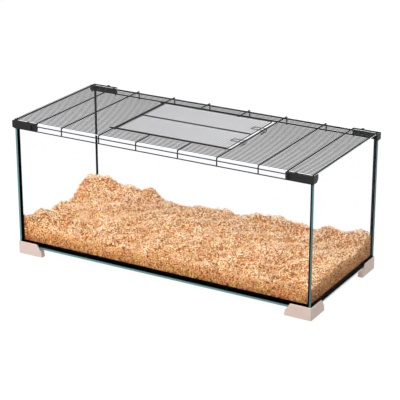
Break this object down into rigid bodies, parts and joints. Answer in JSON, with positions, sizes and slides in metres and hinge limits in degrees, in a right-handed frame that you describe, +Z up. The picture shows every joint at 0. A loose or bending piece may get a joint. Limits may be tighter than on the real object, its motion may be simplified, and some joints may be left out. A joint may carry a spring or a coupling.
{
  "type": "glass rodent cage",
  "caption": "Long bonded glass tank on corner shoes, half-height wood bedding inside, under a lift-off welded wire lid with corner clips and a hinged wire door",
  "frame": {"origin": "centre of the footprint, on the ground", "axes": "+X runs along the tank to the right, +Y to the back pane, +Z up"},
  "size_m": [1.0076, 0.4486, 0.4386],
  "materials": {
    "pane_glass": "clear float glass, green at the cut edges",
    "black_silicone": "smoothed black silicone",
    "shoe_plastic": "pinkish beige moulded plastic",
    "wood_shavings": "loose softwood shavings",
    "coated_wire": "black coated welded steel wire",
    "clip_plastic": "charcoal moulded plastic"
  },
  "bodies": {
    "tank": {"base_pane": "pane_glass", "front_pane": "pane_glass", "back_pane": "pane_glass", "left_pane": "pane_glass", "right_pane": "pane_glass", "base_seam_front": "black_silicone", "base_seam_back": "black_silicone", "base_seam_left": "black_silicone", "base_seam_right": "black_silicone", "corner_seam_front_left": "black_silicone", "corner_seam_front_right": "black_silicone", "corner_seam_back_left": "black_silicone", "corner_seam_back_right": "black_silicone", "corner_shoe_front_left": "shoe_plastic", "corner_shoe_front_right": "shoe_plastic", "corner_shoe_back_left": "shoe_plastic", "corner_shoe_back_right": "shoe_plastic", "wood_bedding": "wood_shavings"},
    "lid": {"lid_end_bar_left": "coated_wire", "lid_end_bar_right": "coated_wire", "lid_clip_bar_left": "coated_wire", "lid_clip_bar_right": "coated_wire", "lid_outer_bar_left": "coated_wire", "lid_outer_bar_right": "coated_wire", "door_rest_bar": "coated_wire", "door_hinge_bar": "coated_wire", "lid_stub_bars_front": "coated_wire", "lid_stub_bars_back": "coated_wire", "door_opening_bar_front": "coated_wire", "door_opening_bar_back": "coated_wire", "lid_mesh_front": "coated_wire", "lid_mesh_back": "coated_wire", "lid_mesh_left": "coated_wire", "lid_mesh_right": "coated_wire", "skirt_wire_upper_front": "coated_wire", "skirt_wire_upper_back": "coated_wire", "skirt_wire_lower_front": "coated_wire", "skirt_wire_lower_back": "coated_wire", "corner_clip_front_left": "clip_plastic", "corner_clip_front_right": "clip_plastic", "corner_clip_back_left": "clip_plastic", "corner_clip_back_right": "clip_plastic"},
    "door": {"door_bar_front": "coated_wire", "door_bar_back": "coated_wire", "door_bar_middle": "coated_wire", "door_bar_left": "coated_wire", "door_bar_right": "coated_wire", "door_mesh": "coated_wire", "hinge_ring_front": "coated_wire", "hinge_ring_back": "coated_wire"}
  },
  "joints": [
    {"name": "lid_lift", "type": "slide", "parent": "tank", "child": "lid", "axis": [0, 0, 1], "range_m": [0, 0.06]},
    {"name": "door_hinge", "type": "hinge", "parent": "lid", "child": "door", "pos_m": [0.1975, 0, 0.43305], "axis": [0, 1, 0], "range_deg": [0, 145]}
  ]
}
